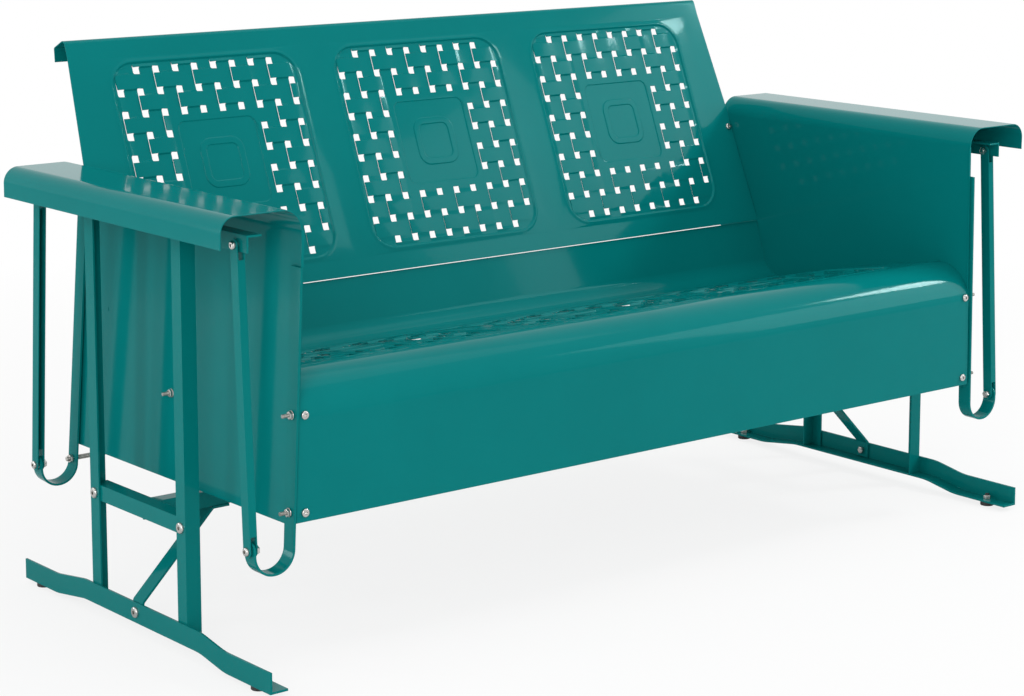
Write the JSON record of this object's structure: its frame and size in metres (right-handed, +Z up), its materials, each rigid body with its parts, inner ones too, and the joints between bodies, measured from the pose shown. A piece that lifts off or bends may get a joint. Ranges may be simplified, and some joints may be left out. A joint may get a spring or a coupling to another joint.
{
  "type": "glider bench",
  "caption": "Sheet-steel porch glider: a perforated seat and back between broad arms, hung on channel links from an angle-steel base so that it swings fore and aft.",
  "frame": {"origin": "on the floor, at the middle of the bench's overall width and depth", "axes": "+X to the right end as seen from the front, -Y to the front where the sitter's legs are, +Z up"},
  "size_m": [1.669, 0.7725, 0.8683],
  "materials": {
    "sheet_paint": "high gloss",
    "frame_paint": "high gloss",
    "plated_steel": "bright plated",
    "foot_plastic": "matt"
  },
  "bodies": {
    "base": {"skid_left": "frame_paint", "skid_right": "frame_paint", "post_front_left": "frame_paint", "post_front_right": "frame_paint", "post_rear_left": "frame_paint", "post_rear_right": "frame_paint", "crossbar_left": "frame_paint", "crossbar_right": "frame_paint", "top_rail_left": "frame_paint", "top_rail_right": "frame_paint", "stretcher": "frame_paint", "brace_left": "frame_paint", "brace_right": "frame_paint", "levelling_feet": "foot_plastic", "foot_nuts": "plated_steel", "crossbar_bolts": "plated_steel", "brace_bolts": "plated_steel", "base_nuts": "plated_steel", "upper_pivot_bolts": "plated_steel", "upper_pivot_nuts": "plated_steel"},
    "link_front_left": {"hanger_link_front_left": "frame_paint", "lower_pivot_bolt_front_left": "plated_steel", "lower_pivot_nut_front_left": "plated_steel"},
    "link_front_right": {"hanger_link_front_right": "frame_paint", "lower_pivot_bolt_front_right": "plated_steel", "lower_pivot_nut_front_right": "plated_steel"},
    "link_rear_left": {"hanger_link_rear_left": "frame_paint", "lower_pivot_bolt_rear_left": "plated_steel", "lower_pivot_nut_rear_left": "plated_steel"},
    "link_rear_right": {"hanger_link_rear_right": "frame_paint", "lower_pivot_bolt_rear_right": "plated_steel", "lower_pivot_nut_rear_right": "plated_steel"},
    "seat": {"strap_front_left": "frame_paint", "strap_front_right": "frame_paint", "strap_rear_left": "frame_paint", "strap_rear_right": "frame_paint", "arm_panel_left": "sheet_paint", "arm_panel_right": "sheet_paint", "seat_pan": "sheet_paint", "backrest": "sheet_paint", "rear_tie_rod": "plated_steel", "tie_rod_nuts": "plated_steel"}
  },
  "joints": [
    {"name": "swing_front_left", "type": "hinge", "parent": "base", "child": "link_front_left", "pos_m": [-0.7835, -0.305, 0.638], "axis": [1, 0, 0], "range_deg": [-15, 15]},
    {"name": "seat_on_front_left", "type": "hinge", "parent": "link_front_left", "child": "seat", "pos_m": [-0.7835, -0.32708, 0.20206], "axis": [1, 0, 0], "range_deg": [-13.8, 13.8]},
    {"name": "swing_front_right", "type": "hinge", "parent": "base", "child": "link_front_right", "pos_m": [0.7835, -0.305, 0.638], "axis": [1, 0, 0], "range_deg": [-15, 15]},
    {"name": "swing_rear_left", "type": "hinge", "parent": "base", "child": "link_rear_left", "pos_m": [-0.7835, 0.261, 0.638], "axis": [1, 0, 0], "range_deg": [-15, 15]},
    {"name": "swing_rear_right", "type": "hinge", "parent": "base", "child": "link_rear_right", "pos_m": [0.7835, 0.261, 0.638], "axis": [1, 0, 0], "range_deg": [-15, 15]}
  ],
  "couplings": [
    {"joint": "seat_on_front_left", "follows": "swing_front_left", "ratio": -0.9155},
    {"joint": "swing_front_right", "follows": "swing_front_left", "ratio": 1},
    {"joint": "swing_rear_left", "follows": "swing_front_left", "ratio": 1},
    {"joint": "swing_rear_right", "follows": "swing_front_left", "ratio": 1}
  ]
}
